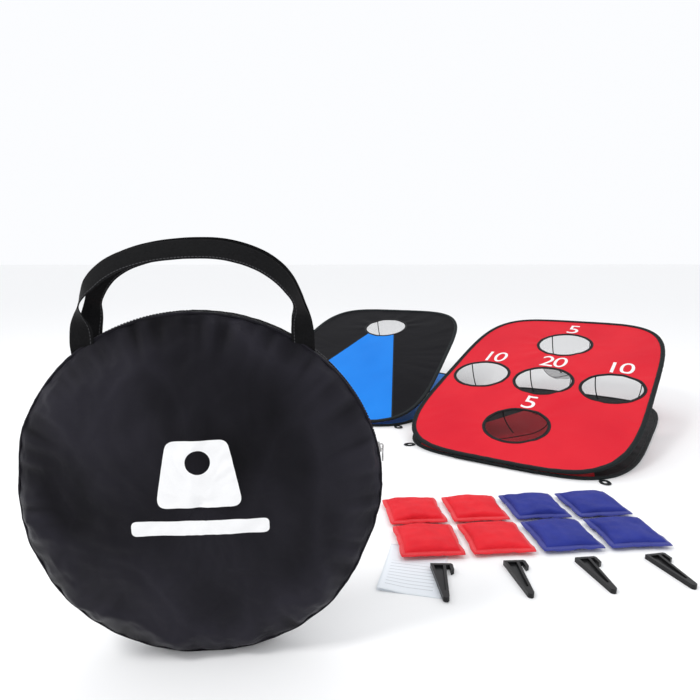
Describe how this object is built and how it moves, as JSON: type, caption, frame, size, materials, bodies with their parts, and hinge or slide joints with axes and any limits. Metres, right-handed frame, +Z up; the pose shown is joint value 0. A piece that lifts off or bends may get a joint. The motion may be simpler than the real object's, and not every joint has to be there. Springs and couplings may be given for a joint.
{
  "type": "bean bag toss set",
  "caption": "Folding double-sided bean bag toss boards on sprung hoops, with bean bags, ground stakes, a leaflet and a round zip carry bag.",
  "frame": {"origin": "ground level under the middle of the set's bounding box", "axes": "+Z up; -Y is the side the carry bag's front faces, +X to its right"},
  "size_m": [1.51, 1.9396, 0.514],
  "materials": {
    "black_webbing": "ribbed woven tape",
    "steel": "brushed",
    "black_fabric": "matte woven polyester",
    "red_fabric": "satin woven polyester",
    "black_mesh": "sheer mesh",
    "blue_fabric": "satin woven polyester",
    "bag_fabric": "satin woven polyester",
    "black_plastic": "satin moulded",
    "red_bean": "plain cotton weave",
    "navy_bean": "plain cotton weave",
    "paper": "matte"
  },
  "bodies": {
    "red_base": {"red_base_binding": "black_webbing", "red_base_hoop": "steel", "red_single_hole_sheet": "black_fabric", "red_triangle_inset": "red_fabric", "red_single_pocket": "black_mesh", "red_hinge_piping": "black_webbing", "red_left_stake_loop": "black_webbing", "red_right_stake_loop": "black_webbing"},
    "red_top": {"red_top_binding": "black_webbing", "red_top_hoop": "steel", "red_five_hole_sheet": "red_fabric", "red_front_pocket": "black_mesh", "red_left_pocket": "black_mesh", "red_centre_pocket": "black_mesh", "red_right_pocket": "black_mesh", "red_rear_pocket": "black_mesh"},
    "blue_base": {"blue_base_binding": "black_webbing", "blue_base_hoop": "steel", "blue_five_hole_sheet": "blue_fabric", "blue_front_pocket": "black_mesh", "blue_left_pocket": "black_mesh", "blue_centre_pocket": "black_mesh", "blue_right_pocket": "black_mesh", "blue_rear_pocket": "black_mesh", "blue_hinge_piping": "black_webbing", "blue_left_stake_loop": "black_webbing", "blue_right_stake_loop": "black_webbing"},
    "blue_top": {"blue_top_binding": "black_webbing", "blue_top_hoop": "steel", "blue_single_hole_sheet": "black_fabric", "blue_triangle_inset": "blue_fabric", "blue_single_pocket": "black_mesh"},
    "bag": {"bag_front_panel": "bag_fabric", "bag_back_panel": "bag_fabric", "bag_gusset": "bag_fabric", "zip_tape": "black_webbing", "zip_teeth": "black_plastic"},
    "slider": {"zip_slider": "steel"},
    "pull": {"zip_pull": "steel"},
    "front_grip": {"front_handle": "black_webbing"},
    "rear_grip": {"rear_handle": "black_webbing"},
    "red_bean_bag_1_body": {"red_bean_bag_1": "red_bean"},
    "red_bean_bag_2_body": {"red_bean_bag_2": "red_bean"},
    "blue_bean_bag_1_body": {"blue_bean_bag_1": "navy_bean"},
    "blue_bean_bag_2_body": {"blue_bean_bag_2": "navy_bean"},
    "red_bean_bag_3_body": {"red_bean_bag_3": "red_bean"},
    "red_bean_bag_4_body": {"red_bean_bag_4": "red_bean"},
    "blue_bean_bag_3_body": {"blue_bean_bag_3": "navy_bean"},
    "blue_bean_bag_4_body": {"blue_bean_bag_4": "navy_bean"},
    "stake_1_body": {"stake_1": "black_plastic"},
    "stake_2_body": {"stake_2": "black_plastic"},
    "stake_3_body": {"stake_3": "black_plastic"},
    "stake_4_body": {"stake_4": "black_plastic"},
    "leaflet_body": {"leaflet": "paper"}
  },
  "joints": [
    {"name": "red_fold", "type": "hinge", "parent": "red_base", "child": "red_top", "pos_m": [0.04097, -0.32976, 0.0073], "axis": [0.788, -0.6157, 0], "range_deg": [-17, 0], "stiffness_Nm_per_rad": 4, "springref_deg": 51.57, "deforming": ["red_front_pocket", "red_left_pocket", "red_centre_pocket", "red_right_pocket", "red_rear_pocket", "red_single_pocket"]},
    {"name": "blue_lift", "type": "slide", "parent": "red_base", "child": "blue_base", "axis": [0, 0, 1], "range_m": [0, 0.5]},
    {"name": "blue_fold", "type": "hinge", "parent": "blue_base", "child": "blue_top", "pos_m": [-0.36903, 0.09024, 0.0073], "axis": [0.8988, -0.4384, 0], "range_deg": [-17, 0], "stiffness_Nm_per_rad": 4, "springref_deg": 51.57, "deforming": ["blue_front_pocket", "blue_left_pocket", "blue_centre_pocket", "blue_right_pocket", "blue_rear_pocket", "blue_single_pocket"]},
    {"name": "bag_lift", "type": "slide", "parent": "red_base", "child": "bag", "axis": [0, 0, 1], "range_m": [0, 0.5]},
    {"name": "zip_travel", "type": "hinge", "parent": "bag", "child": "slider", "pos_m": [-0.53903, -0.92976, 0.215], "axis": [0, -1, 0], "range_deg": [0, 145]},
    {"name": "pull_swing", "type": "hinge", "parent": "slider", "child": "pull", "pos_m": [-0.32029, -0.92976, 0.2655], "axis": [0, -1, 0], "range_deg": [0, 150]},
    {"name": "front_handle_swing", "type": "hinge", "parent": "bag", "child": "front_grip", "pos_m": [-0.53903, -0.94206, 0.4015], "axis": [1, 0, 0], "range_deg": [0, 125]},
    {"name": "rear_handle_swing", "type": "hinge", "parent": "bag", "child": "rear_grip", "pos_m": [-0.53903, -0.91746, 0.4015], "axis": [-1, 0, 0], "range_deg": [0, 125]},
    {"name": "red_bean_bag_1_lift", "type": "slide", "parent": "red_base", "child": "red_bean_bag_1_body", "axis": [0, 0, 1], "range_m": [0, 0.3]},
    {"name": "red_bean_bag_2_lift", "type": "slide", "parent": "red_base", "child": "red_bean_bag_2_body", "axis": [0, 0, 1], "range_m": [0, 0.3]},
    {"name": "blue_bean_bag_1_lift", "type": "slide", "parent": "red_base", "child": "blue_bean_bag_1_body", "axis": [0, 0, 1], "range_m": [0, 0.3]},
    {"name": "blue_bean_bag_2_lift", "type": "slide", "parent": "red_base", "child": "blue_bean_bag_2_body", "axis": [0, 0, 1], "range_m": [0, 0.3]},
    {"name": "red_bean_bag_3_lift", "type": "slide", "parent": "red_base", "child": "red_bean_bag_3_body", "axis": [0, 0, 1], "range_m": [0, 0.3]},
    {"name": "red_bean_bag_4_lift", "type": "slide", "parent": "red_base", "child": "red_bean_bag_4_body", "axis": [0, 0, 1], "range_m": [0, 0.3]},
    {"name": "blue_bean_bag_3_lift", "type": "slide", "parent": "red_base", "child": "blue_bean_bag_3_body", "axis": [0, 0, 1], "range_m": [0, 0.3]},
    {"name": "blue_bean_bag_4_lift", "type": "slide", "parent": "red_base", "child": "blue_bean_bag_4_body", "axis": [0, 0, 1], "range_m": [0, 0.3]},
    {"name": "stake_1_lift", "type": "slide", "parent": "red_base", "child": "stake_1_body", "axis": [0, 0, 1], "range_m": [0, 0.3]},
    {"name": "stake_2_lift", "type": "slide", "parent": "red_base", "child": "stake_2_body", "axis": [0, 0, 1], "range_m": [0, 0.3]},
    {"name": "stake_3_lift", "type": "slide", "parent": "red_base", "child": "stake_3_body", "axis": [0, 0, 1], "range_m": [0, 0.3]},
    {"name": "stake_4_lift", "type": "slide", "parent": "red_base", "child": "stake_4_body", "axis": [0, 0, 1], "range_m": [0, 0.3]},
    {"name": "leaflet_pull_out", "type": "slide", "parent": "red_base", "child": "leaflet_body", "axis": [0, -1, 0], "range_m": [0, 0.16]}
  ]
}
